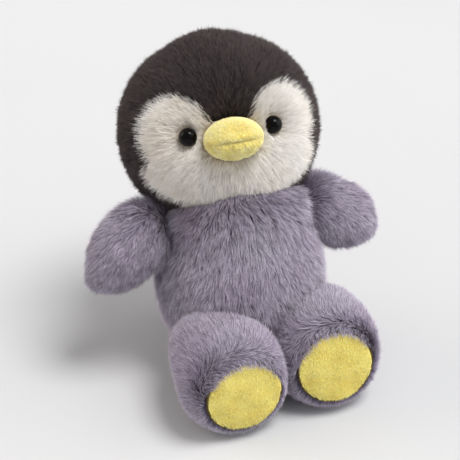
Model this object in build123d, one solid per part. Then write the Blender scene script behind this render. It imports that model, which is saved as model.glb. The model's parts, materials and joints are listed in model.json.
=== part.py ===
from build123d import *
import math
import os

# Plush penguin, sitting. Millimetres, +Z up, standing on z = 0, facing -Y.
# Left and right are the toy's own, so its right side is at -X.
# Every fabric panel is drawn as thick as its cloth and pile together.

# Pile fabric and velour, thickness of cloth and pile together
HEAD_PILE = 6.0
BODY_PILE = 7.0
VELOUR = 2.0
CLOTH = 1.0

SIDES = ("right", "left")

# Head: an egg, leaning back, turned and tilted a little to its right
HEAD_CENTRE = (-0.9, 47.9, 136.1)
HEAD_RADII = (60.1, 53.8, 58.5)
HEAD_LEAN = 27.3
HEAD_TURN = -7.6
HEAD_TILT = -2.6
GUSSET_HALF_WIDTH = 24.0

# White face: two lobes over a wide lower oval that runs on under the chin to the neck,
# as half-axes and centres across and up
LOBE_RADII = (20.0, 23.0)
LOBE_CENTRE = (32.0, 2.0)
CHEEK_RADII = (51.0, 25.0)
CHEEK_CENTRE_UP = -18.5
UNDER_CHIN_RADII = (32.0, 26.0)
UNDER_CHIN_CENTRE_UP = -40.0

# Beak
BEAK_RADII = (17.0, 16.0, 12.0)
BEAK_CENTRE = (0.0, -50.5, -3.5)
MOUTH_UP = -5.0

# Safety eyes and their washers
EYE_ACROSS = 24.3
EYE_UP = 0.6
EYE_R = 5.6
EYE_HEIGHT = 5.5
EYE_RECESS_GAP = 0.6
SHANK_GAP = 0.05
SHANK_R = 1.6
SHANK_LENGTH = 14.0
WASHER_R = 8.0
WASHER_THICKNESS = 2.0
WASHER_GAP = 0.4

# Neck: a ball of fibre in the head on a stem in the body
NECK_LEAN = 23.4
NECK_DROP = 36.0
NECK_BALL_R = 15.0
NECK_STEM_R = 11.0
NECK_STEM_LENGTH = 38.0
NECK_HOLE_R = 20.0
FIBRE_GAP = 0.5

# Body: a leaning egg with a wide seat
BODY_CENTRE = (0.0, 13.2, 55.8)
BODY_RADII = (53.1, 46.0, 60.9)
BODY_LEAN = 19.5
SEAT_CENTRE = (0.0, 19.0, 40.0)
SEAT_RADII = (50.5, 43.0, 46.0)
SEAT_PANEL_TOP = 11.0
SIDE_SEAM_BACK = 6.0

# Arms: flat paddles. Each is (centre, half-axes along, thick, wide, degrees below level)
ARMS = {
    "right": ((-67.4, 21.7, 82.4), (35.3, 16.9, 22.5), 54.1),
    "left": ((63.2, 20.8, 81.3), (35.3, 16.6, 21.2), 40.8),
}
SHOULDER = (46.0, 18.0, 84.0)
SHOULDER_R = 13.5
ARM_FIBRE_SHORT = 10.0

# Legs: stubby, with a round sole. Each is (sole centre, degrees inwards, degrees up)
LEGS = {
    "right": ((-24.5, -70.0, 31.0), 2.0, 3.0),
    "left": ((32.5, -64.0, 33.0), -3.0, 10.0),
}
SOLE_R = 22.0
SOLE_CROWN = 2.0
FOOT_R = 33.0
FOOT_WIDEST_BACK = 18.0
HIP_R = 30.0
HIP_BACK = 42.0
LEGS_MEET_X = 4.5
LEGS_GAP = 0.4

# Travel of the joints, in degrees, and the room left round what moves
NOD = (-10.0, 10.0)
ARM_SWING = (-12.0, 18.0)
LEG_SWING = (-10.0, 20.0)
ROOM = 0.8
ROOM_TO_TURN = 2.4
HEAD_ROOM_AT_ARMS = 3.2

FAR = 300.0


def lean_back(degrees):
    return Rot(-degrees, 0, 0)


def ellipsoid(place, radii, grow=0.0, poles=Rot(0, 0, 0)):
    """A solid egg at a place, with every half-axis longer by grow."""
    ball = poles * Sphere(1.0)
    return place * scale(ball, by=tuple(r + grow for r in radii))


def half_space(plane):
    """Everything on the side of a plane that its normal points to."""
    return plane * Pos(0, 0, FAR / 2) * Box(FAR, FAR, FAR)


ABOVE_FLOOR = half_space(Plane.XY)

HEAD = Pos(*HEAD_CENTRE) * Rot(0, 0, HEAD_TURN) * lean_back(HEAD_LEAN) * Rot(0, HEAD_TILT, 0)
BODY = Pos(*BODY_CENTRE) * lean_back(BODY_LEAN)
SEAT = Pos(*SEAT_CENTRE)
NECK_CENTRE = (
    HEAD_CENTRE[0],
    HEAD_CENTRE[1] - NECK_DROP * math.sin(math.radians(NECK_LEAN)),
    HEAD_CENTRE[2] - NECK_DROP * math.cos(math.radians(NECK_LEAN)),
)
NECK = Pos(*NECK_CENTRE) * lean_back(NECK_LEAN)


def turned_about(shape, centre, about_x=0.0, about_y=0.0):
    """A shape turned in place about an axis through a point."""
    return Pos(*centre) * Rot(about_x, about_y, 0) * Pos(*(-c for c in centre)) * shape


def head_outer(grow=0.0):
    """The head's outside, with its poles at the ears, where no seam runs."""
    return ellipsoid(HEAD, HEAD_RADII, grow, poles=Rot(0, 90, 0))


def nodded_head(nod):
    """The head's outside, nodded by some degrees, with room to turn as well."""
    pose = NECK * Rot(nod, 0, 0) * NECK.inverse()
    return pose * ellipsoid(HEAD, HEAD_RADII, ROOM_TO_TURN)


def body_outer(grow=0.0):
    egg = ellipsoid(BODY, BODY_RADII, grow)
    seat = ellipsoid(SEAT, SEAT_RADII, grow)
    return egg + seat


def shoulder_of(side):
    across = SHOULDER[0] if side == "left" else -SHOULDER[0]
    return (across, SHOULDER[1], SHOULDER[2])


def arm_paddle(side, grow=0.0, shorten=0.0):
    """The arm's egg, optionally shortened from the shoulder end alone."""
    centre, (length, thick, wide), below = ARMS[side]
    down = below if side == "left" else -below
    outwards = shorten / 2 if side == "left" else -shorten / 2
    place = Pos(*centre) * Rot(0, down, 0) * Pos(outwards, 0, 0)
    return ellipsoid(place, (length - shorten / 2, thick, wide), grow)


def arm_outer(side, grow=0.0):
    """The paddle, and the round shoulder that it turns on."""
    root = Pos(*shoulder_of(side)) * Sphere(SHOULDER_R + grow)
    return arm_paddle(side, grow) + root


def lifted_arm(side, shape, lift):
    """A shape on an arm, with the arm lifted by some degrees."""
    about_y = -lift if side == "left" else lift
    return turned_about(shape, shoulder_of(side), about_y=about_y)


def leg_plane(side):
    """A plane at the sole's centre, facing forwards along the leg."""
    centre, inwards, up = LEGS[side]
    a, b = math.radians(inwards), math.radians(up)
    along = (math.sin(a) * math.cos(b), -math.cos(a) * math.cos(b), math.sin(b))
    return Plane(origin=centre, x_dir=(math.cos(a), math.sin(a), 0), z_dir=along)


def hip_of(side):
    plane = leg_plane(side)
    return tuple(plane.origin - plane.z_dir * HIP_BACK)


def leg_round(side, inset):
    """The leg as a round body about its own axis, drawn in by inset all over."""
    sole_inset = min(max(inset, -VELOUR), VELOUR)
    sole_r = SOLE_R - max(inset, 0) / 3
    foot_r = FOOT_R - inset
    hip_r = HIP_R - inset
    crown = (0, SOLE_CROWN - sole_inset)
    edge = (sole_r, -sole_inset)
    widest = (foot_r, -FOOT_WIDEST_BACK)
    ball_side = (hip_r, -HIP_BACK)
    ball_end = (0, -HIP_BACK - hip_r)
    sole = Line(crown, edge)
    rim_reach = 0.6 * (foot_r - sole_r)
    rim = Bezier(edge, (sole_r + rim_reach, -sole_inset), (foot_r, -FOOT_WIDEST_BACK / 2), widest)
    half_taper = (HIP_BACK - FOOT_WIDEST_BACK) / 2
    shank = Bezier(
        widest,
        (foot_r, -FOOT_WIDEST_BACK - half_taper),
        (hip_r, -HIP_BACK + half_taper),
        ball_side,
    )
    hip = RadiusArc(ball_side, ball_end, hip_r)
    axis = Line(ball_end, crown)
    profile = make_face(Curve() + [sole, rim, shank, hip, axis])
    upright = Plane.XZ * profile
    return leg_plane(side).location * revolve(upright, Axis.Z)


def leg_outer(side, grow=0.0):
    return leg_round(side, -grow)


def own_side_of_legs(side, inset=0.0):
    """The space on one leg's side of the plane where the legs press together."""
    if side == "left":
        return half_space(Plane((LEGS_MEET_X + LEGS_GAP + inset, 0, 0), z_dir=(1, 0, 0)))
    return half_space(Plane((LEGS_MEET_X - LEGS_GAP - inset, 0, 0), z_dir=(-1, 0, 0)))


def lifted_leg(side, shape, lift):
    return turned_about(shape, hip_of(side), about_x=-lift)


def spread(limits, steps):
    low, high = limits
    return [low + (high - low) * i / steps for i in range(steps + 1)]


def cut_all(shape, tools):
    for tool in tools:
        shape = shape - tool
    return shape


def largest(shape):
    """The one real piece of a shape, without the crumbs that grazing cuts leave."""
    return max(shape.solids(), key=lambda solid: solid.volume)


def make_neck():
    """A wad of fibre: a ball that the head nods on, over a stem that turns in the body."""
    return {"neck_stuffing": neck_wad()}


def neck_wad(grow=0.0):
    stem_length = NECK_STEM_LENGTH + grow
    stem = Pos(0, 0, -stem_length / 2) * Cylinder(NECK_STEM_R + grow, stem_length)
    return NECK * (Sphere(NECK_BALL_R + grow) + stem)


def neck_opening(radius):
    """A round way out of the head, downwards from the neck's centre."""
    return NECK * Pos(0, 0, -FAR / 4) * Cylinder(radius, FAR / 2)


def face_outline():
    """The white face as an outline across and up, seen from straight ahead."""
    across, up = LOBE_CENTRE
    lobes = Pos(across, up) * Ellipse(*LOBE_RADII) + Pos(-across, up) * Ellipse(*LOBE_RADII)
    under_chin = Pos(0, UNDER_CHIN_CENTRE_UP) * Ellipse(*UNDER_CHIN_RADII)
    return lobes + Pos(0, CHEEK_CENTRE_UP) * Ellipse(*CHEEK_RADII) + under_chin


def skin(grow=0.0):
    """The face of the head's cloth, under its pile."""
    return head_outer(CLOTH - HEAD_PILE + grow)


def eye_place(side):
    """Where an eye's back meets the cloth, looking straight out of it."""
    a, b, c = (r - HEAD_PILE + CLOTH for r in HEAD_RADII)
    x = EYE_ACROSS if side == "left" else -EYE_ACROSS
    y = -b * math.sqrt(1 - (x / a) ** 2 - (EYE_UP / c) ** 2)
    normal = (x / a**2, y / b**2, EYE_UP / c**2)
    return HEAD * Plane(origin=(x, y, EYE_UP), z_dir=normal).location


def make_eye(side):
    place = eye_place(side)
    dome = scale(Sphere(1.0), by=(EYE_R, EYE_R, EYE_HEIGHT)) & half_space(Plane.XY)
    shank = Pos(0, 0, -SHANK_LENGTH / 2) * Cylinder(SHANK_R, SHANK_LENGTH)
    cloth_bulge = WASHER_R**2 / (2 * min(HEAD_RADII))
    washer_low = CLOTH + cloth_bulge + WASHER_GAP + WASHER_THICKNESS
    ring = Cylinder(WASHER_R, WASHER_THICKNESS) - Cylinder(SHANK_R + SHANK_GAP, WASHER_THICKNESS)
    washer = Pos(0, 0, WASHER_THICKNESS / 2 - washer_low) * ring
    return {
        f"eye_{side}": place * (dome + shank),
        f"eye_washer_{side}": place * washer,
    }


def eye_hollow(side):
    """The gap in the pile round an eye, and the hole in the cloth for its shank."""
    recess_depth = 4 * HEAD_PILE
    recess = Pos(0, 0, recess_depth / 2) * Cylinder(EYE_R + EYE_RECESS_GAP, recess_depth)
    hole = Cylinder(SHANK_R + SHANK_GAP, 4 * HEAD_PILE)
    return eye_place(side) * (recess + hole)


def make_beak():
    place = HEAD * Pos(*BEAK_CENTRE)
    outer = ellipsoid(place, BEAK_RADII) - skin()
    fibre = ellipsoid(place, BEAK_RADII, -VELOUR) - skin()
    upper = HEAD * half_space(Plane((0, 0, MOUTH_UP), z_dir=(0, 0, 1)))
    cover = outer - fibre
    return {
        "beak_upper": cover & upper,
        "beak_lower": cover - upper,
        "beak_stuffing": fibre,
    }, outer


def make_head():
    """The head's fabric, beak, eyes and fibre."""
    nodes, beak = make_beak()
    fibre = head_outer(-HEAD_PILE)
    hollows = [beak, neck_opening(NECK_HOLE_R)] + [eye_hollow(side) for side in SIDES]
    shell = cut_all(head_outer() - fibre, hollows)
    white_zone = HEAD * extrude(Plane.XZ * face_outline(), amount=FAR / 2)
    right_half = HEAD * half_space(Plane((0, 0, 0), z_dir=(-1, 0, 0)))
    width = 2 * GUSSET_HALF_WIDTH
    over_crown = Pos(0, 0, FAR / 4) * Box(width, FAR, FAR / 2)
    down_nape = Pos(0, FAR / 4, 0) * Box(width, FAR / 2, FAR)
    gusset_zone = HEAD * (over_crown + down_nape)
    white = shell & white_zone
    dark = shell - white_zone
    sides = dark - gusset_zone
    nodes["face_right"] = white & right_half
    nodes["face_left"] = white - right_half
    nodes["crown_gusset"] = dark & gusset_zone
    nodes["head_side_right"] = sides & right_half
    nodes["head_side_left"] = sides - right_half
    for side in SIDES:
        nodes.update(make_eye(side))
    inside = [neck_wad(FIBRE_GAP), neck_opening(NECK_HOLE_R)]
    inside += [nodes[f"{name}_{side}"] for side in SIDES for name in ("eye", "eye_washer")]
    nodes["head_stuffing"] = cut_all(fibre, inside)
    return nodes


def body_keep_out():
    """All the space that the head, arms and legs pass through."""
    spaces = [nodded_head(nod) for nod in NOD]
    for side in SIDES:
        arm = arm_outer(side, ROOM)
        leg = leg_outer(side, ROOM)
        spaces += [lifted_arm(side, arm, lift) for lift in ARM_SWING]
        spaces += [lifted_leg(side, leg, lift) for lift in spread(LEG_SWING, 3)]
    return spaces


def make_body():
    """The body's four fabric panels and its fibre."""
    keep_out = body_keep_out()
    inner = body_outer(-BODY_PILE) & half_space(Plane((0, 0, BODY_PILE), z_dir=(0, 0, 1)))
    shell = (body_outer() & ABOVE_FLOOR) - inner
    above_seat = half_space(Plane((0, 0, SEAT_PANEL_TOP), z_dir=(0, 0, 1)))
    front = BODY * half_space(Plane((0, SIDE_SEAM_BACK, 0), z_dir=(0, -1, 0)))
    right_half = half_space(Plane((0, 0, 0), z_dir=(-1, 0, 0)))
    upper = shell & above_seat
    back = upper - front
    panels = {
        "belly_panel": upper & front,
        "back_right": back & right_half,
        "back_left": back - right_half,
        "seat_panel": shell - above_seat,
    }
    nodes = {name: largest(cut_all(panel, keep_out)) for name, panel in panels.items()}
    nodes["body_stuffing"] = cut_all(inner, keep_out + [neck_wad(FIBRE_GAP)])
    return nodes


def make_arm(side):
    """One arm's two fabric panels and its fibre, kept clear of the head at every lift."""
    head_space = ellipsoid(HEAD, HEAD_RADII, HEAD_ROOM_AT_ARMS)
    keep_out = [lifted_arm(side, head_space, -lift) for lift in (0, ARM_SWING[1])]
    fibre = arm_paddle(side, -BODY_PILE, shorten=ARM_FIBRE_SHORT)
    shell = cut_all(arm_outer(side) - fibre, keep_out)
    seam_y = ARMS[side][0][1]
    front = half_space(Plane((0, seam_y, 0), z_dir=(0, -1, 0)))
    return {
        f"arm_front_{side}": shell & front,
        f"arm_back_{side}": shell - front,
        f"arm_stuffing_{side}": fibre,
    }


def make_leg(side):
    """One leg's two fabric panels, its velour sole and its fibre."""
    outer = leg_outer(side) & ABOVE_FLOOR & own_side_of_legs(side)
    over_cloth = half_space(Plane((0, 0, BODY_PILE), z_dir=(0, 0, 1)))
    fibre = leg_round(side, BODY_PILE) & over_cloth & own_side_of_legs(side, BODY_PILE)
    shell = outer - fibre
    place = leg_plane(side).location
    sole_zone = place * Cylinder(SOLE_R - CLOTH, 2 * VELOUR + CLOTH)
    upper = place * half_space(Plane((0, 0, 0), z_dir=(0, 1, 0)))
    pile = shell - sole_zone
    return {
        f"leg_upper_{side}": pile & upper,
        f"leg_lower_{side}": pile - upper,
        f"sole_{side}": shell & sole_zone,
        f"leg_stuffing_{side}": fibre,
    }


def make_penguin():
    """Every piece by name, where the toy sits with its seat near the origin."""
    nodes = make_head()
    nodes.update(make_neck())
    nodes.update(make_body())
    for side in SIDES:
        nodes.update(make_arm(side))
        nodes.update(make_leg(side))
    return nodes


def main():
    nodes = make_penguin()
    box = Compound([solid for node in nodes.values() for solid in node.solids()]).bounding_box()
    to_origin = Pos(-box.center().X, -box.center().Y, -box.min.Z)
    os.makedirs("parts", exist_ok=True)
    for name, node in nodes.items():
        export_step(to_origin * node, f"parts/{name}.step")
        print(name, len(node.solids()), round(node.volume))
    print("moved by", to_origin.position)
    joints = {"neck": NECK_CENTRE}
    for side in SIDES:
        joints[f"shoulder_{side}"] = shoulder_of(side)
        joints[f"hip_{side}"] = hip_of(side)
    for name, place in joints.items():
        print(name, to_origin.position + Vector(*place))


main()
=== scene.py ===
import json
import math

import bmesh
import bpy
import numpy as np
from mathutils import Matrix, Vector
from mathutils.bvhtree import BVHTree
from mathutils.kdtree import KDTree


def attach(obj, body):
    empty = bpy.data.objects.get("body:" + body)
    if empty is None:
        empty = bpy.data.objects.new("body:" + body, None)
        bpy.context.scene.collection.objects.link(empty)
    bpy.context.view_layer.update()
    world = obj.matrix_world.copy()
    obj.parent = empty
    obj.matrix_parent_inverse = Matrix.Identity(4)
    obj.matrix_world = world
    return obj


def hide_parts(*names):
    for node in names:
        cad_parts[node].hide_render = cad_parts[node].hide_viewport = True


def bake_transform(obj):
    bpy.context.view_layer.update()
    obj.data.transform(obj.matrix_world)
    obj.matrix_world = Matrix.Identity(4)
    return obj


# A sitting plush penguin. The CAD pieces give every place and size; this script adds the stuffed
# forms, the pile, the velour and the light. Lengths are in millimetres until a mesh is made.

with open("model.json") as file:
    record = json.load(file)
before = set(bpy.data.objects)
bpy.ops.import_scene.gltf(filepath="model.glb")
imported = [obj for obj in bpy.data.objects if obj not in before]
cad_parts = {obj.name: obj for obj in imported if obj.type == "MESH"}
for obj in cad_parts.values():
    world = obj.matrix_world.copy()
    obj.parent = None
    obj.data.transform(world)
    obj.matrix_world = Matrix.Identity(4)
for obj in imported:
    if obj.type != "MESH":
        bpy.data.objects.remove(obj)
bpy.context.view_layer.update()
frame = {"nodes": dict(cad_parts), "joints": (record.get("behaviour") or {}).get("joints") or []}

MM = 0.001
SEED = 20
SIDES = ("right", "left")  # the toy's own, so its right is at -X
UP = np.array((0.0, 0.0, 1.0))
FORWARD = np.array((0.0, -1.0, 0.0))

# What part.py also says
HEAD_PILE, BODY_PILE, CLOTH, VELOUR = 6.0, 7.0, 1.0, 2.0
HEAD_RADII = np.array((60.1, 53.8, 58.5))
HEAD_TURNS = (("Z", -7.6), ("X", -27.3), ("Y", -2.6))
NECK_LEAN, NECK_DROP = 23.4, 36.0
BEAK_RADII = np.array((17.0, 16.0, 12.0))
BEAK_CENTRE = np.array((0.0, -50.5, -3.5))
MOUTH_UP = -5.0
EYE_ACROSS, EYE_UP = 24.3, 0.6
SHANK_R, SHANK_LENGTH = 1.6, 14.0
BODY_FROM_NECK = np.array((0.9, -20.403, -47.261))
BODY_RADII = np.array((53.1, 46.0, 60.9))
BODY_LEAN = 19.5
SEAT_FROM_NECK = np.array((0.9, -14.603, -63.061))
SEAT_RADII = np.array((50.5, 43.0, 46.0))
ARM_EGGS = {  # centre from the shoulder, half-axes along, thick and wide, degrees below level
    "right": (np.array((-21.4, 3.7, -1.6)), np.array((35.3, 16.9, 22.5)), -54.1),
    "left": (np.array((17.2, 2.8, -2.7)), np.array((35.3, 16.6, 21.2)), 40.8),
}
SHOULDER_R = 13.5
LEG_ANGLES = {"right": (2.0, 3.0), "left": (-3.0, 10.0)}  # inwards, up
HIP_BACK, SOLE_R = 42.0, 22.0

# What only the visual model has
EYE_R, EYE_HEIGHT = 5.3, 5.3  # a little under the moulded dome, whose edge sinks in the pile
COLLAR_FROM_NECK = np.array((0.9, -12.2, -5.1))
COLLAR_RADII = np.array((46.0, 37.5, 43.0))
ARM_TO_HEAD = -3.0  # how far the arms' cloth stays outside the head
SOLE_CROWN = 2.0
THIGH = 3.5  # how far the top of each thigh swells
FORM_LOW, CLOTH_LOW, HAIR_LOW = 2.0, 1.0, 0.3  # how far each stays above the floor

# How far the cloth lies under the tips of its pile
HEAD_DEPTH, BODY_DEPTH, ARM_DEPTH, LEG_DEPTH = 4.8, 4.8, 3.8, 3.0

# How the cloth is puffed: the pressure for each kind of body, and about how far it moves the cloth
PRESSURE = {"head": 3500.0, "body": 3500.0, "arm": 14000.0, "leg": 9000.0}
PUFF_FRAMES, PUFF_CAP, PUFF_INSET = 20, 2.5, 1.0


# --- Small tools ---------------------------------------------------------------------------------


def unit(vectors):
    return vectors / np.maximum(np.linalg.norm(vectors, axis=-1, keepdims=True), 1e-9)


def along_surface(vectors, normals):
    """The part of each vector that lies in the surface, one unit long."""
    return unit(vectors - (vectors * normals).sum(-1, keepdims=True) * normals)


def joint_place(name):
    joint = next(j for j in frame["joints"] if j["name"] == name)
    return np.array(joint["pos_m"]) / MM


def turns(*steps):
    """One rotation from (axis, degrees) steps, the outermost first."""
    made = Matrix.Identity(3)
    for axis, degrees in steps:
        made = made @ Matrix.Rotation(math.radians(degrees), 3, axis)
    return np.array(made)


def bump(distance, width):
    """One at no distance, falling off smoothly within about a width."""
    return np.exp(-((distance / width) ** 2))


def step(values, start, end):
    """Zero up to the start and one from the end on, with a smooth rise between."""
    t = np.clip((values - start) / (end - start), 0, 1)
    return t * t * (3 - 2 * t)


class Waves:
    """Smooth noise between about -1 and 1, from a sum of sine waves."""

    def __init__(self, seed, wavelength, count=10):
        rng = np.random.default_rng(seed)
        lengths = wavelength * rng.uniform(0.6, 1.6, (count, 1))
        self.k = unit(rng.normal(size=(count, 3))) * 2 * math.pi / lengths
        self.phase = rng.uniform(0, 2 * math.pi, count)
        self.gain = math.sqrt(2 / count)

    def at(self, points):
        return np.sin(points @ self.k.T + self.phase).sum(1) * self.gain * 0.7


def colour(red, green, blue):
    """A linear colour from the usual 0 to 255 values."""
    parts = [v / 255 for v in (red, green, blue)]
    linear = [v / 12.92 if v <= 0.04045 else ((v + 0.055) / 1.055) ** 2.4 for v in parts]
    return (*linear, 1.0)


# --- Places read from the frame ------------------------------------------------------------------

NECK = joint_place("head_nod")
HEAD_TURN = turns(*HEAD_TURNS)
NECK_ANGLE = math.radians(NECK_LEAN)
HEAD_CENTRE = NECK + NECK_DROP * np.array((0, math.sin(NECK_ANGLE), math.cos(NECK_ANGLE)))
BODY_CENTRE = NECK + BODY_FROM_NECK
BODY_TURN = turns(("X", -BODY_LEAN))
SEAT_CENTRE = NECK + SEAT_FROM_NECK
COLLAR_CENTRE = NECK + COLLAR_FROM_NECK


def head_local(points):
    return (points - HEAD_CENTRE) @ HEAD_TURN


def from_head(points):
    return points @ HEAD_TURN.T + HEAD_CENTRE


def leg_axis(side):
    inwards, up = (math.radians(v) for v in LEG_ANGLES[side])
    level = math.cos(up)
    return np.array((math.sin(inwards) * level, -math.cos(inwards) * level, math.sin(up)))


def sole_centre(side):
    return joint_place(f"leg_{side}_lift") + HIP_BACK * leg_axis(side)


def eye_frame(side):
    """An eye's place on the cloth, and the way that it looks out."""
    a, b, c = HEAD_RADII - HEAD_PILE + CLOTH
    x = EYE_ACROSS if side == "left" else -EYE_ACROSS
    y = -b * math.sqrt(1 - (x / a) ** 2 - (EYE_UP / c) ** 2)
    out = unit(np.array((x / a**2, y / b**2, EYE_UP / c**2)))
    return from_head(np.array((x, y, EYE_UP))), HEAD_TURN @ out


EYES = {side: eye_frame(side) for side in SIDES}


class Tree:
    """CAD nodes as one search tree that knows which node each face is from."""

    def __init__(self, names):
        points, faces, self.owner, self.names = [], [], [], list(names)
        for i, name in enumerate(names):
            mesh = frame["nodes"][name].data
            co = np.empty(len(mesh.vertices) * 3, np.float32)
            mesh.vertices.foreach_get("co", co)
            mesh.calc_loop_triangles()
            corners = np.empty(len(mesh.loop_triangles) * 3, np.int32)
            mesh.loop_triangles.foreach_get("vertices", corners)
            faces += (corners.reshape(-1, 3) + len(points)).tolist()
            points += (co.reshape(-1, 3) / MM).tolist()
            self.owner += [i] * (len(corners) // 3)
        self.tree = BVHTree.FromPolygons(points, faces, all_triangles=True)

    def nearest(self, points):
        """The number of the node nearest to each point."""
        found = (self.tree.find_nearest(p) for p in points.tolist())
        return np.array([self.owner[f[2]] for f in found])

    def reach(self, centre, directions, far=120.0):
        """How far the outside is from a centre, one way after another."""
        made = []
        for d in directions:
            start = centre + d * far
            hit = self.tree.ray_cast(start.tolist(), (-d).tolist(), far)
            made.append(far - hit[3] if hit[0] is not None else 1.0)
        return np.array(made)


# --- Stuffed forms -------------------------------------------------------------------------------


def ball(level):
    """Unit directions and triangles of an even ball."""
    bm = bmesh.new()
    bmesh.ops.create_icosphere(bm, subdivisions=level, radius=1.0)
    directions = unit(np.array([v.co for v in bm.verts], float))
    faces = np.array([[v.index for v in f.verts] for f in bm.faces])
    bm.free()
    return directions, faces


def face_normals(points, faces):
    a, b, c = (points[faces[:, i]] for i in range(3))
    return np.cross(b - a, c - a)


def vertex_normals(points, faces):
    flat = face_normals(points, faces)
    made = np.zeros_like(points)
    for i in range(3):
        np.add.at(made, faces[:, i], flat)
    return unit(made)


def relax(points, faces, times, share=0.5):
    """Evens out a mesh by moving each vertex towards its neighbours' middle."""
    edges = np.concatenate([faces[:, (0, 1)], faces[:, (1, 2)], faces[:, (2, 0)]])
    count = np.bincount(edges.ravel(), minlength=len(points))[:, None]
    for _ in range(times):
        total = np.zeros_like(points)
        np.add.at(total, edges[:, 0], points[edges[:, 1]])
        np.add.at(total, edges[:, 1], points[edges[:, 0]])
        points = points + share * (total / count - points)
    return points


def egg_reach(origin, directions, centre, turn, radii):
    """How far an egg's surface is from a point inside it."""
    start = ((origin - centre) @ turn) / radii
    ways = (directions @ turn) / radii
    a = (ways**2).sum(1)
    b = (ways * start).sum(1)
    c = (start**2).sum() - 1
    return (-b + np.sqrt(np.maximum(b * b - a * c, 0))) / a


def link(name, data):
    """A new object in the scene."""
    made = bpy.data.objects.new(name, data)
    bpy.context.scene.collection.objects.link(made)
    return made


def plain_mesh(name, points, faces):
    """A smooth mesh as a new object, from points in millimetres and lists of corners."""
    mesh = bpy.data.meshes.new(name)
    mesh.from_pydata((points * MM).tolist(), [], faces)
    mesh.polygons.foreach_set("use_smooth", [True] * len(faces))
    mesh.update()
    return link(name, mesh)


def triangles_of(mesh):
    mesh.calc_loop_triangles()
    corners = np.empty(len(mesh.loop_triangles) * 3, np.int32)
    mesh.loop_triangles.foreach_get("vertices", corners)
    return corners.reshape(-1, 3)


def points_of(mesh):
    co = np.empty(len(mesh.vertices) * 3, np.float32)
    mesh.vertices.foreach_get("co", co)
    return co.reshape(-1, 3).astype(float) / MM


class Form:
    """A stuffed form: a closed mesh, with its seams held in while the cloth is puffed."""

    def __init__(self, name, body, points, faces, panels):
        self.name, self.body, self.panels = name, body, panels
        self.tree = Tree(panels)
        normals = vertex_normals(points, faces)
        near = self.tree.nearest(points + normals * 4)
        edges = np.concatenate([faces[:, (0, 1)], faces[:, (1, 2)], faces[:, (2, 0)]])
        on_seam = near[edges[:, 0]] != near[edges[:, 1]]
        held = np.unique(edges[on_seam])
        self.rest = points
        self.object = plain_mesh(name, points, faces.tolist())
        group = self.object.vertex_groups.new(name="seams")
        group.add([int(i) for i in held], 1.0, "REPLACE")

    def take_back(self):
        """Caps what the puffing moved, adds one subdivision, and keeps the mesh."""
        graph = bpy.context.evaluated_depsgraph_get()
        puffed = points_of(self.object.evaluated_get(graph).data)
        moved = puffed - self.rest
        size = np.linalg.norm(moved, axis=1, keepdims=True)
        moved *= np.minimum(1, PUFF_CAP / np.maximum(size, 1e-6))
        points = self.rest + moved
        points[:, 2] = np.maximum(points[:, 2], CLOTH_LOW)
        self.object.modifiers.clear()
        self.object.data.vertices.foreach_set("co", (points * MM).astype(np.float32).ravel())
        self.object.modifiers.new("finer", "SUBSURF").levels = 1
        graph.update()
        finer = bpy.data.meshes.new_from_object(self.object.evaluated_get(graph), depsgraph=graph)
        self.object.modifiers.clear()
        self.object.data = finer
        self.settle()

    def settle(self):
        """Reads the mesh's points, triangles and normals again."""
        mesh = self.object.data
        mesh.polygons.foreach_set("use_smooth", [True] * len(mesh.polygons))
        self.points = points_of(mesh)
        self.faces = triangles_of(mesh)
        self.normals = vertex_normals(self.points, self.faces)
        self.search = BVHTree.FromPolygons(
            self.points.tolist(), self.faces.tolist(), all_triangles=True
        )

    def move(self, points):
        self.object.data.vertices.foreach_set("co", (points * MM).astype(np.float32).ravel())
        self.object.data.update()
        self.settle()

    def scatter(self, density, rng):
        """Points spread over the form, so many to a square millimetre, and their normals."""
        areas = np.linalg.norm(face_normals(self.points, self.faces), axis=1) / 2
        count = int(areas.sum() * density)
        chosen = rng.choice(len(areas), count, p=areas / areas.sum())
        u, v = rng.random((2, count))
        over = u + v > 1
        u, v = np.where(over, 1 - u, u), np.where(over, 1 - v, v)
        weights = np.stack([1 - u - v, u, v], 1)[:, :, None]
        corners = self.faces[chosen]
        return (
            (self.points[corners] * weights).sum(1),
            unit((self.normals[corners] * weights).sum(1)),
        )

    def holds(self, points, margin=0.0):
        """Which points are inside the form or within a margin of it, or deeper than -margin."""
        made = np.zeros(len(points), bool)
        low, high = self.points.min(0) - abs(margin), self.points.max(0) + abs(margin)
        close = np.flatnonzero(((points > low) & (points < high)).all(1))
        for i in close:
            p = Vector(points[i])
            place, normal, _, distance = self.search.find_nearest(p)
            made[i] = math.copysign(distance, (p - place).dot(normal)) < margin
        return made


def puff(forms):
    """Inflates the cloth of every form a little between its seams."""
    scene = bpy.context.scene
    for form in forms:
        cloth = form.object.modifiers.new("cloth", "CLOTH")
        cloth.settings.quality = 6
        cloth.settings.mass = 0.1
        cloth.settings.use_pressure = True
        cloth.settings.uniform_pressure_force = PRESSURE[form.body.split("_")[0]]
        cloth.settings.vertex_group_mass = "seams"
        cloth.settings.effector_weights.gravity = 0.0
        cloth.point_cache.frame_start, cloth.point_cache.frame_end = 1, PUFF_FRAMES
    for number in range(1, PUFF_FRAMES + 1):
        scene.frame_set(number)


def head_form():
    directions, faces = ball(4)
    radii = HEAD_RADII - HEAD_DEPTH - PUFF_INSET
    points = from_head(directions * radii)
    panels = ["face_right", "face_left", "crown_gusset", "head_side_right", "head_side_left"]
    return Form("padded_head", "head", points, faces, panels)


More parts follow.
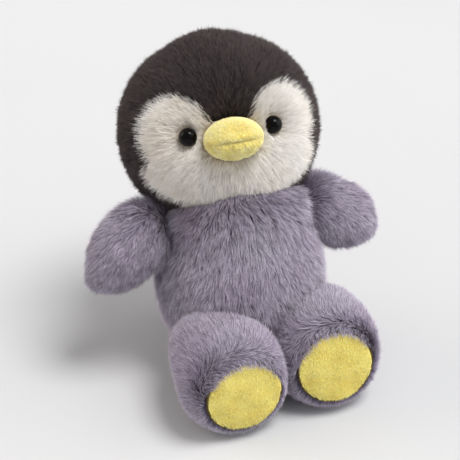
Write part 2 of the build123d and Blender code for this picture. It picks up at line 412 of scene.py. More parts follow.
def body_form():
    """The body's egg, its broad seat and the collar of cloth under the head, as one form."""
    directions, faces = ball(4)
    inset = BODY_DEPTH + PUFF_INSET
    origin = (BODY_CENTRE + SEAT_CENTRE) / 2
    collar = egg_reach(origin, directions, COLLAR_CENTRE, np.eye(3), COLLAR_RADII - inset)
    egg = egg_reach(origin, directions, BODY_CENTRE, BODY_TURN, BODY_RADII - inset)
    seat = egg_reach(origin, directions, SEAT_CENTRE, np.eye(3), SEAT_RADII - inset)
    reach = np.maximum(np.maximum(egg, seat), collar)
    points = origin + directions * reach[:, None]
    points[:, 2] = np.maximum(points[:, 2], BODY_PILE - 2)
    points = relax(points, faces, 3)
    panels = ["belly_panel", "back_right", "back_left", "seat_panel"]
    return Form("padded_body", "body", points, faces, panels)


def drawn_in(points, faces, depth):
    """A limb's outside moved in to its cloth, before the cloth is puffed."""
    points = points - vertex_normals(points, faces) * (depth + PUFF_INSET)
    points[:, 2] = np.maximum(points[:, 2], FORM_LOW)
    return relax(points, faces, 1)


def arm_form(side):
    """The arm's flat egg with its round shoulder, kept off the head."""
    directions, faces = ball(4)
    shoulder = joint_place(f"arm_{side}_lift")
    offset, radii, below = ARM_EGGS[side]
    centre = shoulder + offset
    turn = turns(("Y", below))
    own = np.abs(directions @ turn / radii)
    inner = (directions @ unit(shoulder - centre))[:, None]
    power = 2.0 + 0.8 * step(inner, -0.1, 0.6)
    reach = (own**power).sum(1) ** (-1 / power[:, 0])
    ball_radii = np.full(3, SHOULDER_R)
    start = (centre - shoulder) / SHOULDER_R
    ahead = (directions @ start) ** 2 > (start @ start) - 1
    knob = egg_reach(centre, directions, shoulder, np.eye(3), ball_radii)
    reach = np.where(ahead & (directions @ start < 0), np.maximum(reach, knob), reach)
    points = relax(centre + directions * reach[:, None], faces, 2)
    points = drawn_in(points, faces, ARM_DEPTH)
    local = head_local(points) / (HEAD_RADII + ARM_TO_HEAD)
    size = np.linalg.norm(local, axis=1)
    out = from_head(local / np.maximum(size, 1e-6)[:, None] * (HEAD_RADII + ARM_TO_HEAD))
    points = relax(np.where((size < 1)[:, None], out, points), faces, 2)
    panels = [f"arm_front_{side}", f"arm_back_{side}"]
    return Form(f"padded_arm_{side}", f"arm_{side}", points, faces, panels)


def leg_form(side):
    """The leg as the CAD has it, with a fuller thigh."""
    directions, faces = ball(4)
    panels = [f"leg_upper_{side}", f"leg_lower_{side}", f"sole_{side}"]
    centre = sole_centre(side) - 32 * leg_axis(side)
    reach = Tree([*panels, f"leg_stuffing_{side}"]).reach(centre, directions)
    points = relax(centre + directions * reach[:, None], faces, 2)
    points = drawn_in(points, faces, LEG_DEPTH)
    outer = 1 if side == "left" else -1
    thigh = joint_place(f"leg_{side}_lift") + np.array((16.0 * outer, 2.0, 22.0))
    distance = np.linalg.norm(points - thigh, axis=1)[:, None]
    points = points + vertex_normals(points, faces) * THIGH * bump(distance, 16.0)
    return Form(f"padded_leg_{side}", f"leg_{side}", points, faces, panels)


HEAD = head_form()
BODY = body_form()
ARMS = {side: arm_form(side) for side in SIDES}
LEGS = {side: leg_form(side) for side in SIDES}
FORMS = [HEAD, BODY, *ARMS.values(), *LEGS.values()]
puff(FORMS)
for form in FORMS:
    form.take_back()


def flatten_soles():
    """Brings the end of each leg out to the cloth of its sole."""
    for side, form in LEGS.items():
        axis, centre = leg_axis(side), sole_centre(side)
        offset = form.points - centre
        ahead = offset @ axis
        radial = np.linalg.norm(offset - ahead[:, None] * axis, axis=1)
        target = -CLOTH - 1.2 * step(radial, 0, SOLE_R)
        share = step(-radial, -SOLE_R - 6, -SOLE_R + 1) * (ahead > -14)
        form.move(form.points + ((target - ahead) * share)[:, None] * axis)


def press_eyes():
    """Draws the face's cloth in a little where the eyes are pulled on."""
    points = HEAD.points
    for place, out in EYES.values():
        distance = np.linalg.norm(points - place, axis=1)
        points = points - out * (1.6 * bump(distance, 9.0))[:, None]
    HEAD.move(points)


flatten_soles()
press_eyes()


# --- Materials -----------------------------------------------------------------------------------


class Nodes:
    """A material's node tree, with short ways to add to it."""

    def __init__(self, name):
        self.material = bpy.data.materials.new(name)
        self.material.use_nodes = True
        self.tree = self.material.node_tree
        self.shader = next(n for n in self.tree.nodes if n.type == "BSDF_PRINCIPLED")

    def add(self, kind, values=None, **settings):
        node = self.tree.nodes.new(kind)
        for key, value in settings.items():
            setattr(node, key, value)
        for key, value in (values or {}).items():
            socket = node.inputs[key]
            if isinstance(value, bpy.types.NodeSocket):
                self.tree.links.new(value, socket)
            else:
                socket.default_value = value
        return node

    def attribute(self, name):
        return self.add("ShaderNodeAttribute", attribute_name=name).outputs["Fac"]

    def noise(self, scale, detail=2.0):
        where = self.add("ShaderNodeTexCoord").outputs["Object"]
        values = {"Vector": where, "Scale": scale, "Detail": detail}
        return self.add("ShaderNodeTexNoise", values).outputs["Fac"]

    def spread(self, value, low, high, start=0.0, end=1.0):
        values = {0: value, 1: start, 2: end, 3: low, 4: high}
        return self.add("ShaderNodeMapRange", values).outputs[0]

    def math(self, operation, a, b):
        return self.add("ShaderNodeMath", {0: a, 1: b}, operation=operation).outputs[0]

    def ramp(self, value, stops):
        node = self.add("ShaderNodeValToRGB", {"Fac": value})
        elements = node.color_ramp.elements
        while len(elements) < len(stops):
            elements.new(0.5)
        for element, (place, shade) in zip(elements, stops):
            element.position, element.color = place, shade
        return node.outputs["Color"]

    def grey(self, value):
        return self.add("ShaderNodeCombineColor", {0: value, 1: value, 2: value}).outputs[0]

    def mix(self, share, a, b, blend="MIX"):
        node = self.add("ShaderNodeMix", data_type="RGBA", blend_type=blend)
        sockets = [s for s in node.inputs if s.name in ("A", "B") and s.type == "RGBA"]
        for socket, value in ((node.inputs[0], share), (sockets[0], a), (sockets[1], b)):
            if isinstance(value, bpy.types.NodeSocket):
                self.tree.links.new(value, socket)
            else:
                socket.default_value = value
        return next(s for s in node.outputs if s.type == "RGBA")

    def finish(self, base, roughness=0.8, specular=0.2, sheen=0.0, sheen_tint=None):
        self.tree.links.new(base, self.shader.inputs["Base Color"])
        self.shader.inputs["Roughness"].default_value = roughness
        self.shader.inputs["Specular IOR Level"].default_value = specular
        if sheen:
            self.shader.inputs["Sheen Weight"].default_value = sheen
            self.shader.inputs["Sheen Roughness"].default_value = 0.4
            self.shader.inputs["Sheen Tint"].default_value = sheen_tint or (1, 1, 1, 1)
        return self.material

    def bump_from(self, height, distance, strength=1.0):
        values = {"Height": height, "Distance": distance, "Strength": strength}
        node = self.add("ShaderNodeBump", values)
        self.tree.links.new(node.outputs["Normal"], self.shader.inputs["Normal"])


WARM = (1.0, 0.86, 0.76, 1.0)


def pile_material(name, root, middle, tip, patch, sheen=0.25, tones=(0.82, 1.14)):
    """Pile whose hairs go from a dark root to a light tip, lighter and darker hair by hair; the
    dark root end is painted shade deep in the pile.
    """
    n = Nodes(name)
    grow, tone, lock = n.attribute("grow"), n.attribute("tone"), n.attribute("lock")
    # The ramp's dark root end is painted shade deep in the pile, between the hairs.
    shade = n.ramp(grow, [(0.0, root), (0.45, middle), (1.0, tip)])
    value = n.math("ADD", n.spread(tone, *tones), n.spread(lock, -0.1, 0.1))
    shade = n.mix(1.0, shade, n.grey(value), "MULTIPLY")
    blot = n.spread(n.noise(28.0), 0.0, 0.55, 0.42, 0.72)
    shade = n.mix(blot, shade, n.mix(1.0, shade, patch, "MULTIPLY"))
    return n.finish(shade, 0.75, 0.25, sheen, WARM)


def flecked(name, dark, light, scale, detail=2.0, edge=0.3, bump=None, gloss=(0.95, 0.1), sheen=0):
    """A plain stuff of two close shades, flecked by a noise that may also raise it."""
    n = Nodes(name)
    fleck = n.noise(scale, detail)
    base = n.mix(n.spread(fleck, 0.0, 1.0, edge, 1 - edge), dark, light)
    if bump:
        n.bump_from(fleck, *bump)
    return n.finish(base, *gloss, sheen)


# Each pile's root colour is painted shade deep in the pile; the white root's beige also paints the
# shade under the chin.
DARK = {
    "root": colour(24, 21, 23),
    "middle": colour(46, 41, 44),
    # The warm brownish tip is partly the fibres' own colour and partly painted warm rim light.
    "tip": colour(90, 79, 78),
    "patch": colour(225, 220, 228),
}
WHITE = {
    "root": colour(224, 205, 184),
    "middle": colour(250, 245, 238),
    "tip": colour(255, 254, 252),
    "patch": colour(250, 242, 232),
}
LAVENDER = {
    "root": colour(82, 73, 92),
    "middle": colour(140, 132, 154),
    "tip": colour(214, 207, 220),
    "patch": colour(228, 218, 230),
}
PILES = {
    "dark_pile": pile_material("dark_pile", **DARK, sheen=0.4),
    "white_pile": pile_material("white_pile", **WHITE, tones=(0.92, 1.06)),
    "lavender_pile": pile_material("lavender_pile", **LAVENDER, sheen=0.15, tones=(0.58, 1.46)),
}
KNIT = {"scale": 900.0, "detail": 1.0, "bump": (0.0003, 0.6)}
BACKINGS = {  # the knitted cloth that shows between hairs
    "dark_pile": flecked("dark_backing", colour(20, 18, 20), colour(34, 31, 34), **KNIT),
    "white_pile": flecked("white_backing", colour(196, 184, 170), colour(226, 216, 204), **KNIT),
    "lavender_pile": flecked("lavender_backing", colour(70, 62, 82), colour(98, 88, 110), **KNIT),
}


def velour_material(name, light, deep, pale):
    """Short crushed velour, lighter and darker where its nap lies over."""
    n = Nodes(name)
    crush = n.spread(n.noise(160.0, 3.0), 0.0, 1.0, 0.36, 0.64)
    grain = n.noise(1400.0, 2.0)
    base = n.mix(crush, deep, light)
    base = n.mix(n.spread(grain, 0.0, 0.5, 0.35, 0.75), base, pale)
    n.bump_from(n.math("ADD", grain, n.math("MULTIPLY", crush, 0.6)), 0.0004, 0.5)
    return n.finish(base, 0.8, 0.15, 0.5, (1.0, 0.95, 0.7, 1.0))


VELOUR_YELLOW = velour_material(
    "yellow_velour", colour(252, 238, 142), colour(238, 216, 98), colour(255, 249, 190)
)


def nap_material(name, root, middle, tip):
    """The short fibres that stand on velour."""
    n = Nodes(name)
    grow, tone = n.attribute("grow"), n.attribute("tone")
    shade = n.ramp(grow, [(0.0, root), (0.5, middle), (1.0, tip)])
    shade = n.mix(1.0, shade, n.grey(n.spread(tone, 0.85, 1.1)), "MULTIPLY")
    crush = n.spread(n.noise(90.0, 2.0), 0.0, 0.7, 0.4, 0.62)
    shade = n.mix(crush, shade, n.mix(1.0, shade, colour(248, 240, 214), "MULTIPLY"))
    return n.finish(shade, 0.7, 0.25, 0.6, (1.0, 0.99, 0.92, 1.0))


SOLE_NAP = nap_material(
    "sole_nap", colour(238, 218, 86), colour(254, 242, 130), colour(255, 252, 196)
)
BEAK_NAP = nap_material(
    "beak_nap", colour(248, 230, 116), colour(255, 247, 166), colour(255, 254, 226)
)


EYE_BLACK = flecked(
    "eye_black", colour(5, 4, 5), colour(13, 9, 8), scale=700.0, edge=0.4, gloss=(0.1, 0.12)
)
PLASTIC = flecked(
    "washer_plastic",
    colour(226, 226, 222),
    colour(238, 238, 235),
    scale=500.0,
    detail=3.0,
    edge=0.4,
    bump=(0.00005, 0.4),
    gloss=(0.45, 0.5),
)
FIBRE = flecked(
    "fibre_fill",
    colour(214, 210, 204),
    colour(246, 244, 240),
    scale=420.0,
    detail=5.0,
    edge=0.35,
    bump=(0.001, 0.8),
    sheen=0.3,
)
# The seam thread's dark brown is painted shadow along the gap round each sole, as well as the
# thread's own colour.
SEAM_SHADOW_THREAD = flecked(
    "seam_thread",
    colour(70, 58, 34),
    colour(112, 96, 52),
    scale=1100.0,
    edge=0.35,
    bump=(0.0002, 0.8),
    gloss=(0.85, 0.2),
)


# --- Pile: real hairs as tapered blades ----------------------------------------------------------

LEVELS = np.array((0.0, 0.55, 1.0))
TAPER = (1.0, 0.8)
CORNERS = np.array((0, 1, 3, 2, 2, 3, 4))  # of the quad and the triangle of each blade
CELL_U = np.array((0.2, 0.8, 0.2, 0.8, 0.5))
CELL_V = np.array((0.1, 0.1, 0.55, 0.55, 0.9))


def blades(name, roots, mids, tips, sides, widths, tone, lock, material):
    """One mesh of tapered, curved blades, each with a small place of its own in the UV map."""
    n = len(roots)
    s = LEVELS[:, None, None]
    line = (1 - s) ** 2 * roots + 2 * s * (1 - s) * mids + s**2 * tips
    half = (sides * widths[:, None]) / 2
    rows = []
    for middle, taper in zip(line, TAPER):
        rows += [middle - half * taper, middle + half * taper]
    rows.append(line[-1])
    points = np.stack(rows, 1).reshape(-1, 3) * MM
    each, around = len(rows), len(CORNERS)
    mesh = bpy.data.meshes.new(name)
    mesh.vertices.add(n * each)
    mesh.vertices.foreach_set("co", points.astype(np.float32).ravel())
    loops = (np.arange(n)[:, None] * each + CORNERS).ravel()
    mesh.loops.add(n * around)
    mesh.loops.foreach_set("vertex_index", loops.astype(np.int32))
    mesh.polygons.add(n * 2)
    starts = (np.arange(n)[:, None] * around + np.array((0, 4))).ravel()
    mesh.polygons.foreach_set("loop_start", starts.astype(np.int32))
    mesh.polygons.foreach_set("use_smooth", np.ones(n * 2, bool))
    mesh.update()
    for label, values in (
        ("grow", np.tile(LEVELS[[0, 0, 1, 1, 2]], n)),
        ("tone", np.repeat(tone, each)),
        ("lock", np.repeat(lock, each)),
    ):
        attribute = mesh.attributes.new(label, "FLOAT", "POINT")
        attribute.data.foreach_set("value", values.astype(np.float32))
    across = math.ceil(math.sqrt(n))
    cell = np.arange(n)[:, None]
    flat = np.stack([cell % across + CELL_U, cell // across + CELL_V], 2) / across
    layer = mesh.uv_layers.new(name="OFBake")
    layer.uv.foreach_set("vector", flat[:, CORNERS].astype(np.float32).ravel())
    mesh.materials.append(material)
    return link(name, mesh)


class Pile:
    """How a pile grows: its length, the angles that it stands and lies at, and its locks."""

    def __init__(self, length, stand, lie, width, density, lock, pull, swirl=14.0, ragged=0.16):
        self.length, self.width, self.density = length, width, density
        self.stand, self.lie = math.radians(stand), math.radians(lie)
        self.lock, self.pull, self.ragged = lock, pull, ragged
        self.swirl = math.radians(swirl)


def hairs(points, normals, comb, pile, rng, scale=None):
    """The roots, middles, tips, side ways, widths and tones of combed hairs in locks.

    Hairs stand up more where their comb is shorter than one.
    """
    count = len(points)
    lean = np.clip(np.linalg.norm(comb, axis=1), 0.35, 1)
    comb = along_surface(comb, normals)
    cross = np.cross(normals, comb)
    turn = pile.swirl * (Waves(3, 14.0).at(points) + 0.5 * Waves(4, 6.0).at(points))
    turn = turn + rng.normal(0, 0.14, count)
    comb = comb * np.cos(turn)[:, None] + cross * np.sin(turn)[:, None]
    leaders = max(1, int(count / pile.density / pile.lock**2))
    tree = KDTree(leaders)
    for i, p in enumerate(points[:leaders].tolist()):
        tree.insert(p, i)
    tree.balance()
    lock = np.array([tree.find(p)[1] for p in points.tolist()])
    lock_lean = rng.normal(0, 0.3 * pile.pull, leaders)[lock]
    lock_turn = rng.normal(0, 0.4 * pile.pull, leaders)[lock]
    lock_length = (1 + rng.normal(0, 0.15 * pile.pull, leaders))[lock]
    lock_tone = rng.random(leaders)[lock]
    side = np.cross(normals, comb)
    comb = comb * np.cos(lock_turn)[:, None] + side * np.sin(lock_turn)[:, None]
    length = pile.length * lock_length * (1 + rng.normal(0, pile.ragged, count))
    if scale is not None:
        length = length * scale
    rise = pile.stand * lean + lock_lean * 0.5 + rng.normal(0, 0.12, count)
    fall = pile.lie * lean + lock_lean + rng.normal(0, 0.14, count)
    rise, fall = np.clip(rise, 0, 1.35)[:, None], np.clip(fall, 0.1, 1.5)[:, None]
    first = normals * np.cos(rise) + comb * np.sin(rise)
    second = normals * np.cos(fall) + comb * np.sin(fall)
    mids = points + first * (length / 2)[:, None]
    tips = mids + second * (length / 2)[:, None]
    pull = pile.pull * rng.uniform(0.5, 1.1, count)[:, None]
    tips = tips + (tips[lock] - tips) * pull
    mids = mids + (mids[lock] - mids) * pull * 0.3
    for part in (mids, tips):
        part[:, 2] = np.maximum(part[:, 2], HAIR_LOW)
    way = unit(tips - points)
    face = along_surface(normals, way)
    edge = np.cross(way, face)
    twist = rng.uniform(-0.5, 0.5, count)[:, None]
    sides = edge * np.cos(twist) + face * np.sin(twist)
    widths = pile.width * rng.uniform(0.75, 1.25, count)
    return points, mids, tips, sides, widths, rng.random(count), lock_tone


def body_comb(points, normals):
    """Down from the neck, and outwards to the sides."""
    across = (points[:, 0] - BODY_CENTRE[0]) / BODY_RADII[0]
    ways = np.tile(-UP, (len(points), 1)) + 0.55 * across[:, None] * np.array((1.0, 0, 0))
    back = step(points[:, 1], BODY_CENTRE[1] - 10, BODY_CENTRE[1] + 20)
    ways = ways + (0.35 * (1 - back))[:, None] * FORWARD
    # Near the head the hairs stand up more, so more of their dark roots show: painted shade under
    # the chin.
    out = np.linalg.norm(head_local(points) / HEAD_RADII, axis=1)
    return unit(ways) * (0.55 + 0.45 * step(out, 1.0, 1.25))[:, None]


def head_comb(points, normals):
    """Away from the beak on every side, turning down below, and away from each eye."""
    beak = from_head(BEAK_CENTRE)
    ways = along_surface(points - beak, normals)
    local = head_local(points)
    ways = ways - UP * (0.35 * step(-local[:, 2], 0, 30))[:, None]
    behind = step(local[:, 1], -10, 30)
    ways = ways * (1 - behind)[:, None] - UP * behind[:, None]
    for place, _ in EYES.values():
        offset = points - place
        near = bump(np.linalg.norm(offset, axis=1), 8.5)
        ways = ways + along_surface(offset, normals) * (1.6 * near)[:, None]
    return unit(ways)


def arm_comb(side):
    shoulder, ruffle = joint_place(f"arm_{side}_lift"), Waves(13, 22.0)

    def ways(points, normals):
        out = unit(ARM_TIPS[side] - shoulder)
        ahead = step((points - shoulder) @ out, -16, 6)[:, None]
        away = unit(points - shoulder + 14 * out)
        ways = ahead * (0.6 * out - 0.8 * UP) + (1.25 - ahead) * away
        return unit(ways) * (0.9 + 0.2 * ruffle.at(points))[:, None]

    return ways


def leg_comb(side):
    axis, centre = leg_axis(side), sole_centre(side)
    outer = 1 if side == "left" else -1

    def ways(points, normals):
        """Back along the leg, turning outwards and over the sole's rim along the top."""
        offset = points - centre
        ahead = (offset @ axis)[:, None]
        out = unit(offset - ahead * axis)
        top = step(out @ UP, -0.3, 0.6)[:, None]
        turn = math.pi * step(ahead, -12, -2) * top
        around = unit(np.cross(axis, out)) * outer
        return around * np.sin(turn) - axis * np.cos(turn) - UP * 0.5 * (1 - top)

    return ways


ARM_TIPS = {}
for side in SIDES:
    away = ARMS[side].points - joint_place(f"arm_{side}_lift")
    ARM_TIPS[side] = ARMS[side].points[np.argmax(np.linalg.norm(away, axis=1))]

WHITE_PILE = Pile(6.6, 26, 64, 0.22, 8.5, 1.5, 0.06, swirl=5)
DARK_PILE = Pile(7.4, 30, 68, 0.28, 5.0, 2.2, 0.22, swirl=9)
BODY_HAIRS = Pile(9.6, 40, 74, 0.23, 6.6, 2.2, 0.20, swirl=14)
ARM_PILE = Pile(8.4, 40, 76, 0.24, 9.5, 2.2, 0.13, swirl=12)
LEG_PILE = Pile(7.6, 44, 78, 0.24, 7.2, 1.8, 0.06, swirl=8)


def cover(form, pile_of, comb, others=(), skip=None, scale=None):
    """Grows pile on a form, one piece for each panel that has a pile, and returns the pieces.

    No hair grows where the form is skipped or where another form holds its root, and scale
    says how short the hairs are.
    """
    rng = np.random.default_rng(SEED + len(form.name) + len(form.panels))
    densest = max(p.density for p in pile_of.values())
    points, normals = form.scatter(densest, rng)
    keep = np.ones(len(points), bool)
    if skip is not None:
        keep &= ~skip(points)
    for other, margin in others:
        keep[keep] = ~other.holds(points[keep], margin)
    points, normals = points[keep], normals[keep]
    lying = along_surface(comb(points, normals), normals)
    # A hair belongs to the panel that is under its middle
    owner = form.tree.nearest(points + normals * 5 + lying * 3)
    slots, made = slots_of(form), []
    for i, panel in enumerate(form.panels):
        if panel not in pile_of:
            continue
        pile = pile_of[panel]
        mine = owner == i
        mine &= rng.random(len(points)) < pile.density / densest
        p, n = points[mine], normals[mine]
        shorter = None if scale is None else scale(p)
        grown = hairs(p, n, comb(p, n), pile, rng, shorter)
        piece = blades(f"pile_{panel}", *grown, PILES[slots[panel]])
        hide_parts(panel)
        made.append(piece)
    return made


def head_skip(points):
    """Where the beak and the eyes are sewn on."""
    inside = (((head_local(points) - BEAK_CENTRE) / (BEAK_RADII + 0.2)) ** 2).sum(1) < 1
    for place, _ in EYES.values():
        inside |= np.linalg.norm(points - place, axis=1) < EYE_R + 0.5
    return inside


def head_scale(points):
    """Shorter pile right beside the eyes and the beak."""
    made = np.ones(len(points))
    for place, _ in EYES.values():
        made *= 1 - 0.5 * bump(np.maximum(np.linalg.norm(points - place, axis=1) - EYE_R, 0), 2.5)
    rim = np.sqrt((((head_local(points) - BEAK_CENTRE) / BEAK_RADII) ** 2).sum(1)) - 1
    return made * (1 - 0.4 * bump(np.maximum(rim, 0), 0.12))


def leg_skip(side):
    """Where the sole is sewn on."""
    axis, centre = leg_axis(side), sole_centre(side)

    def inside(points):
        offset = points - centre
        ahead = offset @ axis
        radial = np.linalg.norm(offset - ahead[:, None] * axis, axis=1)
        return (radial < SOLE_R + 0.3) & (ahead > -8)

    return inside


def arm_scale(side):
    """Shorter pile round the narrow outer end."""
    shoulder = joint_place(f"arm_{side}_lift")
    out = unit(ARM_TIPS[side] - shoulder)

    def scale(points):
        return 1 - 0.22 * step((points - shoulder) @ out, 26, 42)

    return scale


def leg_scale(side):
    """Shorter pile right beside the sole."""
    axis, centre = leg_axis(side), sole_centre(side)

    def scale(points):
        return 1 - 0.3 * step((points - centre) @ axis, -9, -3)

    return scale


def slots_of(form):
    """Which pile each panel of a form has."""
    if form is HEAD:
        return {p: "white_pile" if p.startswith("face") else "dark_pile" for p in HEAD.panels}
    return {p: "lavender_pile" for p in form.panels}


def dress_head():
    piles = {p: WHITE_PILE if p.startswith("face") else DARK_PILE for p in HEAD.panels}
    for piece in cover(HEAD, piles, head_comb, skip=head_skip, scale=head_scale):
        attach(piece, "head")


def dress_body():
    piles = {p: BODY_HAIRS for p in BODY.panels}
    others = [(HEAD, 1.0)] + [(f, 0.0) for f in (*ARMS.values(), *LEGS.values())]
    for piece in cover(BODY, piles, body_comb, others):
        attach(piece, "body")


def bend(piece):
    """Bakes the placement of a limb's piece into its mesh."""
    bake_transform(piece)


def dress_limbs():
    for side in SIDES:
        neighbours = [(BODY, -3.0), (HEAD, 0.5)]
        for form, pile, comb, others, skip, scale in (
            (ARMS[side], ARM_PILE, arm_comb(side), neighbours, None, arm_scale(side)),
            (LEGS[side], LEG_PILE, leg_comb(side), [], leg_skip(side), leg_scale(side)),
        ):
            piles = {p: pile for p in form.panels if not p.startswith("sole")}
            for piece in cover(form, piles, comb, others, skip, scale):
                bend(piece)


dress_head()
dress_body()
dress_limbs()


# --- Forms as pieces -----------------------------------------------------------------------------


def finish_form(form, replaced):
    """Gives a form its backing cloth, face by face, and hangs the head's and the body's forms on
    their bodies.
    """
    mesh, slots = form.object.data, slots_of(form)
    names = sorted(set(slots.values()))
    mesh.materials.clear()
    for name in names:
        mesh.materials.append(BACKINGS[name])
    centres = np.empty(len(mesh.polygons) * 3, np.float32)
    mesh.polygons.foreach_get("center", centres)
    near = form.tree.nearest(centres.reshape(-1, 3).astype(float) / MM)
    indices = [names.index(slots[form.panels[i]]) for i in near]
    mesh.polygons.foreach_set("material_index", indices)
    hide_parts(replaced)
    if form.body in ("head", "body"):
        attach(form.object, form.body)
    else:
        bend(form.object)


finish_form(HEAD, "head_stuffing")
finish_form(BODY, "body_stuffing")
for side in SIDES:
    finish_form(ARMS[side], f"arm_stuffing_{side}")
    finish_form(LEGS[side], f"leg_stuffing_{side}")


# --- Velour: beak and soles ----------------------------------------------------------------------


def grid_mesh(name, points, across, around):
    """A mesh of rings of points, the first and last of them single points."""
    faces = []
    for i in range(around):
        j = (i + 1) % around
        faces.append((0, 1 + i, 1 + j))
    for ring in range(across - 1):
        a, b = 1 + ring * around, 1 + (ring + 1) * around
        for i in range(around):
            j = (i + 1) % around
            faces.append((a + i, b + i, b + j, a + j))
    a, last = 1 + (across - 1) * around, len(points) - 1
    for i in range(around):
        j = (i + 1) % around
        faces.append((a + j, a + i, last))
    return plain_mesh(name, points, faces)


def lathe(name, profile, place, out, around=64):
    """A turned piece: (radius, height) pairs from the tip down, standing on a place."""
    across = unit(np.cross(out, UP))
    other = np.cross(out, across)
    points = [place + out * profile[0][1]]
    for radius, height in profile[1:-1]:
        for i in range(around):
            angle = 2 * math.pi * i / around
            ring = across * math.cos(angle) + other * math.sin(angle)
            points.append(place + out * height + ring * radius)
    points.append(place + out * profile[-1][1])
    return grid_mesh(name, np.array(points), len(profile) - 2, around)


def beak_form():
    """The padded beak, its mouth drawn in along a crease between two lips."""
    directions, faces = ball(6)
    local = directions * (BEAK_RADII - 0.7)
    front = step(-directions[:, 1], 0.1, 0.6)
    mouth = MOUTH_UP - BEAK_CENTRE[2] + 0.6 * np.cos(local[:, 0] / 9)
    gap = local[:, 2] - mouth
    along = step(local[:, 0], -12, -4) * (1 - step(local[:, 0], 6.5, 12.5))
    crease = 1.5 * bump(gap, 0.95) * front * (0.12 + 0.88 * along)
    lip = (0.5 + 0.6 * along) * bump(gap - 2.4, 1.9) * front
    chin = 0.5 * bump(gap + 3.0, 2.2) * front
    wrinkle = 0.24 * Waves(8, 4.5).at(local) * step(-gap, -0.5, 1.5)
    normals = unit(local / BEAK_RADII**2)
    local = local + normals * (lip + chin + wrinkle - crease)[:, None]
    points = from_head(local + BEAK_CENTRE)
    form = Form("padded_beak", "head", points, faces, ["beak_upper", "beak_lower"])
    form.settle()
    return form


def make_beak():
    """The beak and the nap on it, which is rougher on the lower panel's side of the crease."""
    form = beak_form()
    form.object.data.materials.append(VELOUR_YELLOW)
    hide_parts("beak_stuffing")
    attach(form.object, "head")
    rng = np.random.default_rng(SEED + 1)
    points, normals = form.scatter(8.0, rng)
    keep = head_local(points)[:, 1] < -40
    points, normals = points[keep], normals[keep]
    owner = form.tree.nearest(points)
    comb = along_surface(points - from_head(BEAK_CENTRE + np.array((0, -18, 3))), normals)
    for i, panel in enumerate(form.panels):
        mine = owner == i
        nap = Pile(1.1, 25, 62, 0.3, 8.0, 1.2, 0.5 if i else 0.2, swirl=55 if i else 12)
        grown = hairs(points[mine], normals[mine], comb[mine], nap, rng)
        piece = blades(f"nap_{panel}", *grown, BEAK_NAP)
        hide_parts(panel)
        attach(piece, "head")


def sole_height(share):
    """How far a sole's crown stands out, from its middle (0) to its rim (1)."""
    return SOLE_CROWN * (1 - share**2) - 0.5


def sole_disc(side, axis, centre, across, rise, dents):
    """The crowned velour disc, turned in at its rim and closed behind."""
    rings, around = 26, 96
    points = []
    for ring in range(rings + 1):
        radius = SOLE_R * ring / rings
        for i in range(1 if ring == 0 else around):
            angle = 2 * math.pi * i / around
            flat = across * math.cos(angle) + rise * math.sin(angle)
            height = sole_height(ring / rings)
            height -= 0.9 * max(0.0, ring / rings - 0.92) / 0.08
            points.append(centre + flat * radius + axis * height)
    points = np.array(points)
    points += axis * (0.45 * dents.at(points))[:, None]
    points = np.vstack([points, centre - axis * 1.6])
    piece = grid_mesh(f"velour_sole_{side}", points, rings, around)
    piece.data.materials.append(VELOUR_YELLOW)
    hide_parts(f"sole_{side}")
    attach(piece, f"leg_{side}")


def sole_nap(side, axis, centre, across, rise, dents):
    """The nap on the disc, evenly spread and combed down and outwards."""
    rng = np.random.default_rng(SEED + 2)
    count = int(math.pi * SOLE_R**2 * 6)
    radius = (SOLE_R - 0.4) * np.sqrt(rng.random(count))
    angle = 2 * math.pi * rng.random(count)
    flat = across * np.cos(angle)[:, None] + rise * np.sin(angle)[:, None]
    roots = centre + flat * radius[:, None]
    height = sole_height(radius / SOLE_R)
    roots = roots + axis * (height + 0.45 * dents.at(roots + axis * height[:, None]))[:, None]
    nap = Pile(1.1, 30, 66, 0.3, 6.0, 1.3, 0.2, swirl=16)
    normals = np.tile(axis, (count, 1)) + flat * (radius / SOLE_R * 0.18)[:, None]
    comb = np.tile(0.5 * across - rise, (count, 1))
    grown = hairs(roots, unit(normals), comb, nap, rng)
    piece = blades(f"nap_sole_{side}", *grown, SOLE_NAP)
    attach(piece, f"leg_{side}")


def sole_seam_shadow(side, axis, centre, across, rise):
    """The seam round a sole: a thin cord of stitches, each a little hump, whose dark brown is
    partly the thread and partly painted shadow of the gap between sole and fur.
    """
    around, sides_of_tube, stitches = 480, 8, 60
    points, faces = [], []
    for i in range(around):
        angle = 2 * math.pi * i / around
        flat = across * math.cos(angle) + rise * math.sin(angle)
        hump = abs(math.sin(angle * stitches / 2))
        middle = centre + flat * (SOLE_R + 0.35) - axis * 1.3
        for j in range(sides_of_tube):
            a = 2 * math.pi * j / sides_of_tube
            thick = 0.35 + 0.25 * hump
            points.append(middle + (flat * math.cos(a) + axis * math.sin(a)) * thick)
    for i in range(around):
        a, b = i * sides_of_tube, ((i + 1) % around) * sides_of_tube
        for j in range(sides_of_tube):
            k = (j + 1) % sides_of_tube
            faces.append((a + j, a + k, b + k, b + j))
    piece = plain_mesh(f"seam_sole_{side}", np.array(points), faces)
    piece.data.materials.append(SEAM_SHADOW_THREAD)
    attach(piece, f"leg_{side}")


make_beak()
for side in SIDES:
    axis, centre = leg_axis(side), sole_centre(side)
    across = unit(np.cross(axis, UP))
    place = (side, axis, centre, across, np.cross(across, axis))
    dents = Waves(30 + len(side), 16.0)
    sole_disc(*place, dents)
    sole_nap(*place, dents)
    sole_seam_shadow(*place)


# --- Eyes, washers and neck ----------------------------------------------------------------------


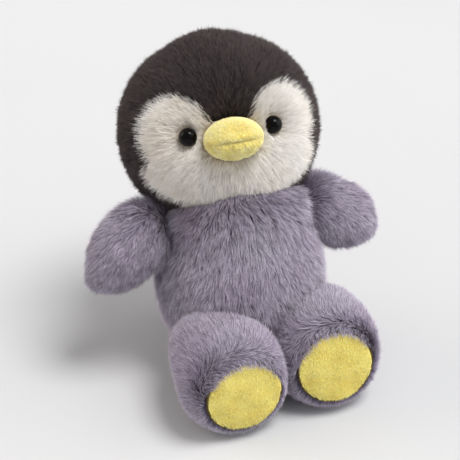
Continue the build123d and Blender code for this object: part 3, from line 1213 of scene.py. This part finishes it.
def make_eyes():
    """The black domes on their ribbed shanks, and the colour of their washers."""
    for side, (place, out) in EYES.items():
        profile = []
        for i in range(25):
            angle = math.pi / 2 * i / 24
            profile.append((EYE_R * math.sin(angle), EYE_HEIGHT * math.cos(angle)))
        profile += [(EYE_R - 0.1, -0.25), (EYE_R - 0.5, -0.4), (SHANK_R + 0.4, -0.4)]
        for i in range(12):
            down = -0.8 - (SHANK_LENGTH - 1.4) * i / 11
            profile += [(SHANK_R, down), (SHANK_R - 0.2, down - 0.3)]
        profile += [(0.8, -SHANK_LENGTH), (0.0, -SHANK_LENGTH)]
        piece = lathe(f"safety_eye_{side}", profile, place, out)
        piece.data.materials.append(EYE_BLACK)
        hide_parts(f"eye_{side}")
        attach(piece, "head")
        washer = frame["nodes"][f"eye_washer_{side}"]
        washer.data.materials.clear()
        washer.data.materials.append(PLASTIC)


def make_neck():
    """The wad of fibre in the neck, a little uneven all over."""
    directions, faces = ball(5)
    centre = NECK - UP * 2
    reach = Tree(["neck_stuffing"]).reach(centre, directions)
    points = relax(centre + directions * reach[:, None], faces, 2)
    points = points + vertex_normals(points, faces) * (0.5 * Waves(6, 6.0).at(points))[:, None]
    piece = plain_mesh("padded_neck", points, faces.tolist())
    piece.data.materials.append(FIBRE)
    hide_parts("neck_stuffing")
    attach(piece, "neck")


make_eyes()
make_neck()


# --- Floor, light and camera ---------------------------------------------------------------------


def make_floor():
    size = 6.0
    mesh = bpy.data.meshes.new("floor")
    corners = [(-size, -size, 0), (size, -size, 0), (size, size, 0), (-size, size, 0)]
    mesh.from_pydata(corners, [], [(0, 1, 2, 3)])
    shades = colour(212, 213, 215), colour(215, 216, 218)
    mesh.materials.append(flecked("pale_floor", *shades, scale=3.0, gloss=(0.9, 0.1)))
    link("floor", mesh)


def far_light(name, place, softness, power, shade):
    """A far lamp, as wide as some degrees, that lights everything alike."""
    light = bpy.data.lights.new(name, "SUN")
    light.angle, light.energy, light.color = math.radians(softness), power, shade
    lamp = link(name, light)
    lamp.location = place
    lamp.rotation_mode = "QUATERNION"
    lamp.rotation_quaternion = (-Vector(place)).to_track_quat("-Z", "Y")


def make_lights():
    world = bpy.data.worlds.new("studio")
    bpy.context.scene.world = world
    world.use_nodes = True
    background = next(n for n in world.node_tree.nodes if n.type == "BACKGROUND")
    background.inputs["Color"].default_value = (0.98, 0.99, 1.0, 1.0)
    background.inputs["Strength"].default_value = 0.42
    far_light("key", (0.4, -0.26, 1.2), 26.0, 2.1, (1.0, 0.985, 0.965))
    far_light("fill", (0.95, -0.35, 0.5), 60.0, 1.15, (1.0, 0.99, 0.98))
    far_light("rim", (-0.8, 0.5, 0.45), 40.0, 0.9, (1.0, 0.86, 0.76))


CAMERA_AZIMUTH, CAMERA_ELEVATION, CAMERA_ROLL = -17.66, 34.16, -0.67
CAMERA_DISTANCE, CAMERA_TARGET = 0.863, Vector((-0.00926, -0.01541, 0.0967))
LENS, SENSOR = 117.1, 36.0


def make_camera():
    a, e = math.radians(CAMERA_AZIMUTH), math.radians(CAMERA_ELEVATION)
    back = Vector((math.sin(a) * math.cos(e), -math.cos(a) * math.cos(e), math.sin(e)))
    right = Vector((math.cos(a), math.sin(a), 0))
    up = back.cross(right)
    roll = math.radians(CAMERA_ROLL)
    tilted = right * math.cos(roll) + up * math.sin(roll)
    camera = link("camera", bpy.data.cameras.new("camera"))
    camera.data.lens, camera.data.sensor_width = LENS, SENSOR
    camera.matrix_world = Matrix.Translation(CAMERA_TARGET + back * CAMERA_DISTANCE) @ Matrix(
        (tilted, back.cross(tilted), back)
    ).transposed().to_4x4()
    bpy.context.scene.camera = camera


make_floor()
make_lights()
make_camera()
bpy.context.scene.view_settings.view_transform = "Standard"
